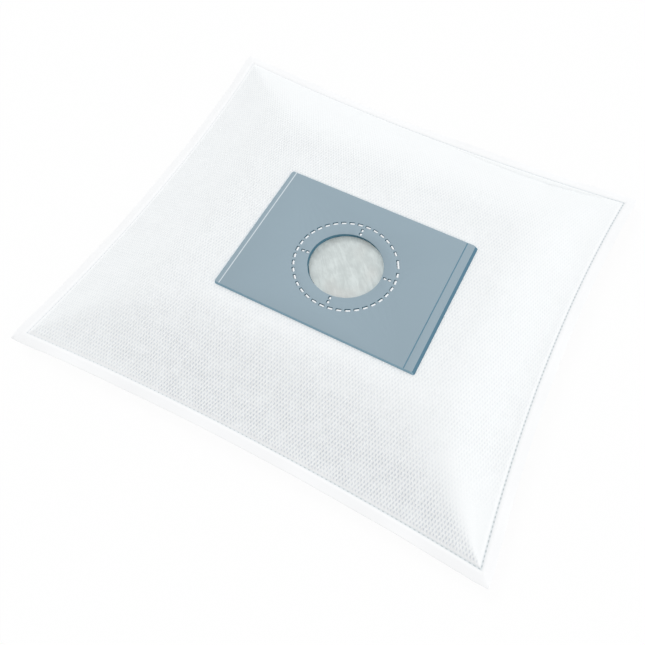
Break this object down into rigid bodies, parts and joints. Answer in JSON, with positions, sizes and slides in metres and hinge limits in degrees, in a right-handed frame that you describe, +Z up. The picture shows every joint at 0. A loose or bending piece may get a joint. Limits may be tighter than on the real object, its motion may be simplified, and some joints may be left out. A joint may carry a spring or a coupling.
{
  "type": "vacuum dust bag",
  "caption": "Flat synthetic vacuum cleaner dust bag: two welded nonwoven panels with a board collar, a round inlet and a perforated tear-out ring.",
  "frame": {"origin": "middle of the bag's underside, on the surface that it lies on", "axes": "+X along the bag's long side and the collar's long side, +Y to the back, +Z up out of the inlet"},
  "size_m": [0.308, 0.284, 0.025],
  "materials": {
    "nonwoven": "white spunbond polypropylene, thermally bonded with small diamond points, matt",
    "lining": "soft loose-laid fibre, pale grey, matt",
    "board": "smooth solid board, blue-grey, die cut, satin"
  },
  "bodies": {
    "root": {"back_panel": "nonwoven", "front_panel": "nonwoven", "inner_fleece": "lining", "collar_plate": "board"}
  },
  "joints": []
}
